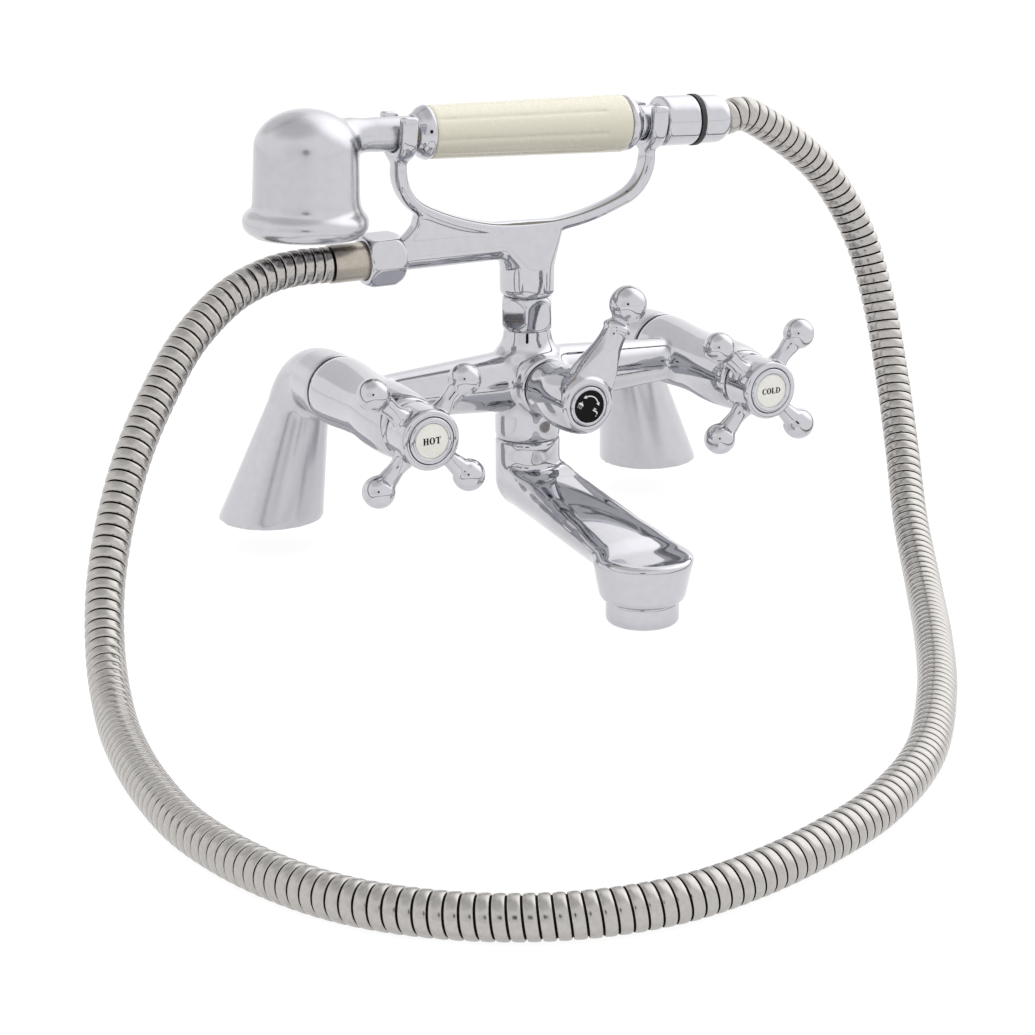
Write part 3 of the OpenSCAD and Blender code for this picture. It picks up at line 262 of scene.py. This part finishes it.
materials = {
    "chrome": metal("chrome", (0.485, 0.485, 0.515), (0.51, 0.51, 0.54), 0.025, 0.06, 300),
    "brass": metal("brass", (0.68, 0.52, 0.24), (0.78, 0.62, 0.32), 0.15, 0.3, 500),
    "valve_ceramic": painted("valve_ceramic", (0.86, 0.85, 0.82), (0.92, 0.91, 0.89), 0.2, 0.35, 700, 0.2),
    "rubber": painted("rubber", (0.012, 0.012, 0.013), (0.03, 0.03, 0.03), 0.45, 0.65, 900, 0.0),
    "enamel": painted("enamel", (0.80, 0.79, 0.73), (0.86, 0.85, 0.80), 0.08, 0.16, 600, 0.6),
    "black_index": painted(
        "black_index", (0.004, 0.004, 0.004), (0.007, 0.007, 0.007), 0.2, 0.3, 800, 0.0, shine=0.08
    ),
    "cream_grip": painted(
        "cream_grip", (0.665, 0.63, 0.52), (0.68, 0.645, 0.535), 0.25, 0.29, 900, 0.15, relief=0.02
    ),
    "hose_steel": metal("hose_steel", (0.40, 0.383, 0.367), (0.45, 0.433, 0.415), 0.16, 0.24, 700),
    "satin_nickel": metal("satin_nickel", (0.38, 0.345, 0.30), (0.45, 0.41, 0.355), 0.26, 0.36, 800),
    "screw_steel": metal("screw_steel", (0.42, 0.42, 0.42), (0.56, 0.56, 0.56), 0.2, 0.35, 900),
    "insert_plastic": painted("insert_plastic", (0.60, 0.60, 0.58), (0.66, 0.66, 0.64), 0.35, 0.5, 600, 0.0),
}
satin_chrome = metal("satin_chrome", (0.485, 0.485, 0.515), (0.51, 0.51, 0.54), 0.21, 0.25, 300)
# Painted shade: a near-black material for the faces in the hose's grooves, standing in for the shade between
# the bands
groove_painted_shade = painted(
    "groove_painted_shade", (0.005, 0.005, 0.005), (0.01, 0.01, 0.01), 0.6, 0.8, 900, 0.0, shine=0.05
)
sign_white = painted("sign_white", (0.80, 0.80, 0.80), (0.86, 0.86, 0.86), 0.3, 0.4, 900, 0.0)
sign_black = painted("sign_black", (0.006, 0.006, 0.006), (0.01, 0.01, 0.01), 0.3, 0.4, 900, 0.0, shine=0.1)


def paint(piece, material):
    piece.data.materials.clear()
    piece.data.materials.append(material)


# Nodes whose look differs from that of their slot: castings with a softer shine, and a plated bonnet
OWN_LOOK = {
    "hot_leg": satin_chrome, "cold_leg": satin_chrome, "spray_head": satin_chrome,
    "diverter_bonnet": materials["chrome"],
}


def look_of(name):
    return OWN_LOOK.get(name, materials[slot_of_node[name]])


for name, node in nodes.items():
    for holder in node.material_slots:
        holder.material = look_of(name)


# Castings
def points_of(mesh):
    places = np.zeros(len(mesh.vertices) * 3)
    mesh.vertices.foreach_get("co", places)
    return places.reshape(-1, 3)


def move_points(mesh, places):
    mesh.vertices.foreach_set("co", places.ravel())
    mesh.update()


def normals_of(mesh):
    normals = np.zeros(len(mesh.vertices) * 3)
    mesh.vertex_normals.foreach_get("vector", normals)
    return normals.reshape(-1, 3)


def edges_of(mesh):
    """The first points and the second points of all edges."""
    ends = np.zeros(len(mesh.edges) * 2, np.int32)
    mesh.edges.foreach_get("vertices", ends)
    return ends.reshape(-1, 2).T


def even_normals(mesh):
    """Averages the shading over neighbouring points, but not across edges."""
    count = len(mesh.vertices)
    normals = normals_of(mesh)
    first, second = edges_of(mesh)
    for _ in range(SHADE_ROUNDS):
        likeness = np.clip(np.sum(normals[first] * normals[second], axis=1), 0, 1) ** EDGE_POWER
        total = normals.copy()
        for axis in range(3):
            total[:, axis] += np.bincount(first, likeness * normals[second, axis], count)
            total[:, axis] += np.bincount(second, likeness * normals[first, axis], count)
        normals = total / np.linalg.norm(total, axis=1, keepdims=True)
    mesh.normals_split_custom_set_from_vertices(normals)


def relax(mesh, axis, fade, rounds):
    """Moves the points between four places along an axis towards the middle of their neighbours."""
    count = len(mesh.vertices)
    places = points_of(mesh)
    shares = SMOOTH_SHARE * np.interp(places[:, axis], np.array(fade) * MM, (0, 1, 1, 0))
    first, second = edges_of(mesh)
    degree = np.bincount(first, minlength=count) + np.bincount(second, minlength=count)
    for _ in range(rounds):
        for way in range(3):
            total = np.bincount(first, places[second, way], count)
            total += np.bincount(second, places[first, way], count)
            places[:, way] += shares * (total / degree - places[:, way])
    move_points(mesh, places)


def crown_arm(mesh):
    """Raises the middle of the spout's upper side, so that it is rounded across."""
    places = points_of(mesh)
    upward = np.clip(normals_of(mesh)[:, 2], 0, 1)
    half = np.interp(places[:, 1], np.array(ARM_ENDS) * MM, np.array(ARM_HALVES) * MM)
    across = np.clip(1 - (places[:, 0] / half) ** 2, 0, 1)
    along = np.interp(places[:, 1], np.array(CROWN_FADE) * MM, (0, 1, 1, 0))
    places[:, 2] += ARM_CROWN * upward**2 * across * along
    move_points(mesh, places)


def soften(name, voxel, rounds):
    """A finer copy of a CAD node with rounded edges and even shading, which takes the node's place."""
    piece = bpy.data.objects.new("cast_" + name, nodes[name].data.copy())
    bpy.context.scene.collection.objects.link(piece)
    remesh = piece.modifiers.new("remesh", "REMESH")
    remesh.mode = "VOXEL"
    remesh.voxel_size = voxel
    smooth = piece.modifiers.new("smooth", "SMOOTH")
    smooth.factor = SMOOTH_SHARE
    smooth.iterations = rounds
    shaped = bpy.data.meshes.new_from_object(piece.evaluated_get(bpy.context.evaluated_depsgraph_get()))
    piece.modifiers.clear()
    piece.data = shaped
    shaped.polygons.foreach_set("use_smooth", [True] * len(shaped.polygons))
    if name in RELAXED:
        relax(shaped, *RELAXED[name])
    if name == "spout":
        crown_arm(shaped)
    even_normals(shaped)
    paint(piece, look_of(name))
    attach(piece, body_of_node[name])
    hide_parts(name)


for name, (voxel, rounds) in CASTINGS.items():
    soften(name, voxel * MM, rounds)


# Hose
def curve_through(points, steps):
    """Points of a smooth curve through the given ones."""
    padded = np.vstack([2 * points[0] - points[1], points, 2 * points[-1] - points[-2]])
    dense = []
    for i in range(len(points) - 1):
        before, here, there, after = padded[i : i + 4]
        for t in np.arange(steps) / steps:
            dense.append(
                here
                + (there - before) * t / 2
                + (2 * before - 5 * here + 4 * there - after) * t**2 / 2
                + (3 * here - before - 3 * there + after) * t**3 / 2
            )
    dense.append(points[-1])
    return np.array(dense)


def hose_route():
    way = Vector((math.cos(HOSE_TILT), 0, -math.sin(HOSE_TILT)))
    end = Vector((0, BODY_Y, HANDSET_Z)) + HOSE_END_REACH * way
    points = [HOSE_START, HOSE_START - Vector((HOSE_D, 0, 0))]
    points += [Vector(p) * MM for p in HOSE_POINTS]
    points += [end + HOSE_D * way, end]
    return curve_through(np.array(points), CURVE_STEPS)


def mesh_piece(name, vertices, faces, material):
    mesh = bpy.data.meshes.new(name)
    mesh.from_pydata(vertices, [], faces)
    mesh.update()
    piece = bpy.data.objects.new(name, mesh)
    bpy.context.scene.collection.objects.link(piece)
    paint(piece, material)
    return piece


def build_hose():
    route = hose_route()
    reach = np.concatenate([[0], np.cumsum(np.linalg.norm(np.diff(route, axis=0), axis=1))])
    length = reach[-1]
    bands = round(length / BAND_PITCH)
    pitch = length / bands
    stations = [((i + share) * pitch, r * MM) for i in range(bands) for share, r in BAND_PROFILE]
    stations.append((length, BAND_PROFILE[0][1] * MM))

    def at(s):
        return np.array([np.interp(s, reach, route[:, axis]) for axis in range(3)])

    vertices = []
    side = np.array([0.0, 0.0, 1.0])
    turns = np.arange(BAND_SIDES) * 2 * math.pi / BAND_SIDES
    for s, r in stations:
        way = at(min(s + WAY_STEP, length)) - at(max(s - WAY_STEP, 0))
        way /= np.linalg.norm(way)
        side = side - (side @ way) * way
        side /= np.linalg.norm(side)
        other = np.cross(way, side)
        lean = BAND_LEAN * min(1, s / (LEAN_BANDS * pitch), (length - s) / (LEAN_BANDS * pitch))
        ring = at(s) + r * (np.outer(np.cos(turns), side) + np.outer(np.sin(turns), other))
        ring += lean * np.outer(np.sin(turns - LEAN_SIDE), way)
        vertices.extend(ring.tolist())
    faces = []
    for i in range(len(stations) - 1):
        for j in range(BAND_SIDES):
            k = (j + 1) % BAND_SIDES
            near = i * BAND_SIDES
            far = near + BAND_SIDES
            faces.append((near + j, far + j, far + k, near + k))
    last = (len(stations) - 1) * BAND_SIDES
    faces.append(tuple(range(BAND_SIDES)))
    faces.append(tuple(last + j for j in reversed(range(BAND_SIDES))))
    hose = mesh_piece("ribbed_hose", vertices, faces, materials["hose_steel"])
    # The groove faces get the near-black painted shade
    hose.data.materials.append(groove_painted_shade)
    looks = []
    for i in range(len(stations) - 1):
        in_groove = i % len(BAND_PROFILE) < GROOVE_STEPS
        looks += [int(in_groove)] * BAND_SIDES
    hose.data.polygons.foreach_set("material_index", looks + [0, 0])
    hose.data.polygons.foreach_set("use_smooth", [True] * len(hose.data.polygons))
    hose.data.set_sharp_from_angle(angle=SHARP_EDGE)
    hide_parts("hose")
    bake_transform(hose)


build_hose()


# Letters and signs on the index discs, drawn as flat shapes in a plane of their own
def bar(left, low, right, high):
    return [(left, low), (right, low), (right, high), (left, high)]


def bow(centre, outer, inner, start, stop, steps):
    """Four-cornered pieces of an elliptic ring between two angles in degrees."""
    angles = np.radians(np.linspace(start, stop, steps + 1))
    pieces = []
    for a, b in zip(angles[:-1], angles[1:]):
        pieces.append(
            [
                (centre[0] + radii[0] * math.cos(angle), centre[1] + radii[1] * math.sin(angle))
                for radii, angle in ((inner, a), (outer, a), (outer, b), (inner, b))
            ]
        )
    return pieces


# Each letter's width and shapes, for a cap height of one
SERIF = 0.07
LETTERS = {
    "H": (0.92, [
        bar(0.08, 0, 0.34, 1), bar(0.58, 0, 0.84, 1), bar(0.3, 0.45, 0.62, 0.57),
        bar(0, 0, 0.41, SERIF), bar(0.51, 0, 0.92, SERIF),
        bar(0, 1 - SERIF, 0.41, 1), bar(0.51, 1 - SERIF, 0.92, 1),
    ]),
    "O": (0.9, bow((0.45, 0.5), (0.46, 0.52), (0.18, 0.44), 0, 360, 40)),
    "T": (0.84, [
        bar(0.29, 0, 0.55, 1), bar(0, 0.88, 0.84, 1), bar(0, 0.7, 0.06, 0.92), bar(0.78, 0.7, 0.84, 0.92),
        bar(0.2, 0, 0.65, SERIF),
    ]),
    "C": (0.82, [
        *bow((0.45, 0.5), (0.46, 0.52), (0.18, 0.44), 48, 312, 30),
        bar(0.74, 0.66, 0.8, 1), bar(0.74, 0.1, 0.8, 0.3),
    ]),
    "L": (0.76, [
        bar(0.08, 0, 0.34, 1), bar(0, 1 - SERIF, 0.41, 1), bar(0, 0, 0.76, 0.11), bar(0.7, 0, 0.76, 0.3),
    ]),
    "D": (0.9, [
        bar(0.08, 0, 0.34, 1), bar(0, 0, 0.4, SERIF), bar(0, 1 - SERIF, 0.4, 1),
        *bow((0.36, 0.5), (0.54, 0.5), (0.28, 0.42), -90, 90, 24),
    ]),
}


def written(word, cap_height, gap):
    """The shapes of a word in capitals, centred on the origin."""
    shapes = []
    pen = 0.0
    for letter in word:
        width, pieces = LETTERS[letter]
        shapes += [[(x + pen, y - 0.5) for x, y in piece] for piece in pieces]
        pen += width + gap
    middle = (pen - gap) / 2
    return [[((x - middle) * cap_height, y * cap_height) for x, y in shape] for shape in shapes]


def turned(shapes, degrees):
    c = math.cos(math.radians(degrees))
    s = math.sin(math.radians(degrees))
    return [[(x * c - y * s, x * s + y * c) for x, y in shape] for shape in shapes]


def moved(shapes, right, up):
    return [[(x + right, y + up) for x, y in shape] for shape in shapes]


def sign(name, disc, shapes, material):
    """Thin raised shapes on the front of an index disc, seen upright from the front."""
    low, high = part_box(disc)
    middle = (low + high) / 2
    vertices = []
    faces = []
    for shape in shapes:
        first = len(vertices)
        count = len(shape)
        for front in (low.y - SIGN_RAISE, low.y + SIGN_RAISE):
            vertices += [(middle.x + x, front, middle.z + z) for x, z in shape]
        faces.append([first + i for i in range(count)])
        faces.append([first + count + i for i in reversed(range(count))])
        for i in range(count):
            j = (i + 1) % count
            faces.append([first + j, first + i, first + count + i, first + count + j])
    piece = mesh_piece(name, vertices, faces, material)
    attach(piece, body_of_node[disc])


def diverter_shapes():
    """An arc with two arrow heads, a shower rose at the left and a tap at the right, drawn in mm."""
    arc_r = 4.1
    half_arc = 46
    half_line = 0.22
    outer = (arc_r + half_line, arc_r + half_line)
    inner = (arc_r - half_line, arc_r - half_line)
    shapes = bow((0, 0), outer, inner, 90 - half_arc, 90 + half_arc, 24)
    head = [(arc_r - 0.75, 0), (arc_r + 0.75, 0), (arc_r + 0.1, -1.35)]
    shapes += turned([head], 90 - half_arc)
    shapes += turned([[(x, -y) for x, y in reversed(head)]], 90 + half_arc)
    rose = bow((0, 0), (1.25, 0.95), (0, 0), 0, 180, 12)
    rose += [bar(-0.14, 0.9, 0.14, 1.5)]
    rose += [bar(x - 0.13, low, x + 0.13, low + 0.42) for x in (-0.8, 0, 0.8) for low in (-0.72, -1.4)]
    shapes += moved(rose, -3.7, -1.0)
    tap = [bar(-1.2, 0.25, 0.5, 0.8), bar(-0.75, 0.7, -0.35, 1.3), bar(-1.15, 1.2, 0.05, 1.5)]
    tap += bow((0.4, -0.3), (1.1, 1.1), (0.55, 0.55), 0, 90, 8)
    tap += [bar(1.1, -1.3, 1.4, -0.75)]
    shapes += moved(tap, 3.5, -1.1)
    return [[(x * MM, y * MM) for x, y in shape] for shape in turned(shapes, -LEVER_ANGLE)]


sign("hot_word", "hot_index_disc", written("HOT", WORD_HEIGHT, WORD_GAP), sign_black)
sign("cold_word", "cold_index_disc", written("COLD", WORD_HEIGHT * LONG_WORD_SHARE, WORD_GAP), sign_black)
sign("diverter_sign", "diverter_index_disc", diverter_shapes(), sign_white)


# Studio
def stage_sheet(name, corners, material):
    sheet = mesh_piece(name, corners, [tuple(range(len(corners)))], material)
    return sheet


def white_ground():
    """White to the eye with faint shadows, and a lit white table with full shadows in the metal."""
    material = bpy.data.materials.new("white_ground")
    material.use_nodes = True
    tree = material.node_tree
    tree.nodes.clear()
    path = add_node(material, "ShaderNodeLightPath", {})
    strength = add_node(material, "ShaderNodeMapRange", {"To Min": TABLE_GLOW, "To Max": GROUND_GLOW})
    glow = add_node(material, "ShaderNodeEmission", {})
    shade = add_node(material, "ShaderNodeMapRange", {"To Min": GROUND_WHITE, "To Max": TABLE_WHITE})
    matt = add_node(material, "ShaderNodeBsdfDiffuse", {})
    both = add_node(material, "ShaderNodeAddShader", {})
    out = add_node(material, "ShaderNodeOutputMaterial", {})
    join(material, path, "Is Camera Ray", strength, "Value")
    join(material, strength, "Result", glow, "Strength")
    join(material, path, "Is Glossy Ray", shade, "Value")
    join(material, shade, "Result", matt, "Color")
    tree.links.new(glow.outputs[0], both.inputs[0])
    tree.links.new(matt.outputs[0], both.inputs[1])
    tree.links.new(both.outputs[0], out.inputs["Surface"])
    return material


def world_math(tree, operation, first, second):
    """A math node on two values, each a number or another node's output."""
    node = tree.nodes.new("ShaderNodeMath")
    node.operation = operation
    for socket, value in zip(node.inputs, (first, second)):
        if isinstance(value, (int, float)):
            socket.default_value = value
        else:
            tree.links.new(value, socket)
    return node.outputs["Value"]


def world_lobe(tree, direction, towards, inner, outer):
    """One inside the inner angle from a direction and fading to nought at the outer angle."""
    dot = tree.nodes.new("ShaderNodeVectorMath")
    dot.operation = "DOT_PRODUCT"
    dot.inputs[1].default_value = Vector(towards).normalized()
    tree.links.new(direction, dot.inputs[0])
    fade = tree.nodes.new("ShaderNodeMapRange")
    fade.interpolation_type = "SMOOTHSTEP"
    fade.inputs["From Min"].default_value = math.cos(math.radians(outer))
    fade.inputs["From Max"].default_value = math.cos(math.radians(inner))
    tree.links.new(dot.outputs["Value"], fade.inputs["Value"])
    return fade.outputs["Result"]


def build_world():
    """White to the eye, a tent with soft bright and dim sides in the metal, and plain light elsewhere."""
    world = bpy.data.worlds.new("studio")
    bpy.context.scene.world = world
    world.use_nodes = True
    tree = world.node_tree
    direction = tree.nodes.new("ShaderNodeTexCoord").outputs["Generated"]
    tent = TENT_LEVEL
    for towards, inner, outer, gain in TENT_LOBES:
        lobe = world_lobe(tree, direction, towards, inner, outer)
        tent = world_math(tree, "ADD", tent, world_math(tree, "MULTIPLY", lobe, gain))
    path = tree.nodes.new("ShaderNodeLightPath")
    for_metal = world_math(tree, "MULTIPLY", path.outputs["Is Glossy Ray"], tent)
    shown = world_math(tree, "MAXIMUM", path.outputs["Is Camera Ray"], path.outputs["Is Glossy Ray"])
    elsewhere = world_math(tree, "MULTIPLY", world_math(tree, "SUBTRACT", 1.0, shown), WORLD_FILL)
    strength = world_math(
        tree, "ADD", world_math(tree, "ADD", path.outputs["Is Camera Ray"], for_metal), elsewhere
    )
    background = tree.nodes["Background"]
    background.inputs["Color"].default_value = (1, 1, 1, 1)
    tree.links.new(strength, background.inputs["Strength"])


def softbox(name, place, width, height, watts):
    lamp = bpy.data.lights.new(name, "AREA")
    lamp.shape = "RECTANGLE"
    lamp.size = width
    lamp.size_y = height
    lamp.energy = watts
    box = bpy.data.objects.new(name, lamp)
    bpy.context.scene.collection.objects.link(box)
    box.location = place
    box.rotation_euler = (LAMP_AIM - Vector(place)).to_track_quat("-Z", "Y").to_euler()
    box.visible_camera = False
    box.visible_glossy = False


def card(name, corners, glow):
    """A dim sheet that only the metal shows."""
    material = bpy.data.materials.new(name)
    material.use_nodes = True
    material.node_tree.nodes.clear()
    light = add_node(material, "ShaderNodeEmission", {"Strength": glow})
    out = add_node(material, "ShaderNodeOutputMaterial", {})
    join(material, light, "Emission", out, "Surface")
    sheet = stage_sheet(name, corners, material)
    sheet.visible_camera = False
    sheet.visible_diffuse = False
    sheet.visible_shadow = False


def build_camera():
    back = Vector(
        (
            math.sin(AZIMUTH) * math.cos(ELEVATION),
            -math.cos(AZIMUTH) * math.cos(ELEVATION),
            math.sin(ELEVATION),
        )
    )
    level_right = Vector((math.cos(AZIMUTH), math.sin(AZIMUTH), 0))
    level_up = back.cross(level_right)
    right = level_right * math.cos(ROLL) + level_up * math.sin(ROLL)
    up = level_up * math.cos(ROLL) - level_right * math.sin(ROLL)
    place = back * DISTANCE + right * SHIFT_RIGHT + up * SHIFT_UP
    data = bpy.data.cameras.new("camera")
    data.sensor_width = SENSOR
    data.lens = SENSOR * FOCAL_PIXELS / FRAME_PIXELS
    data.clip_start = CLIP_START
    camera = bpy.data.objects.new("camera", data)
    bpy.context.scene.collection.objects.link(camera)
    camera.matrix_world = Matrix((right, up, back)).transposed().to_4x4()
    camera.location = place
    bpy.context.scene.camera = camera
    behind = place + back * LENS_BEHIND
    turns = [2 * math.pi * i / LENS_SIDES for i in range(LENS_SIDES)]
    rim = [behind + LENS_R * (math.cos(turn) * right + math.sin(turn) * up) for turn in turns]
    card("lens_card", rim, LENS_GLOW)


half = FLOOR_SIZE / 2
stage_sheet(
    "floor",
    [(-half, -half, FLOOR_Z), (half, -half, FLOOR_Z), (half, half, FLOOR_Z), (-half, half, FLOOR_Z)],
    white_ground(),
)
for name, lamp in LAMPS.items():
    softbox(name, *lamp)
build_world()
build_camera()
bpy.context.scene.view_settings.view_transform = "Standard"
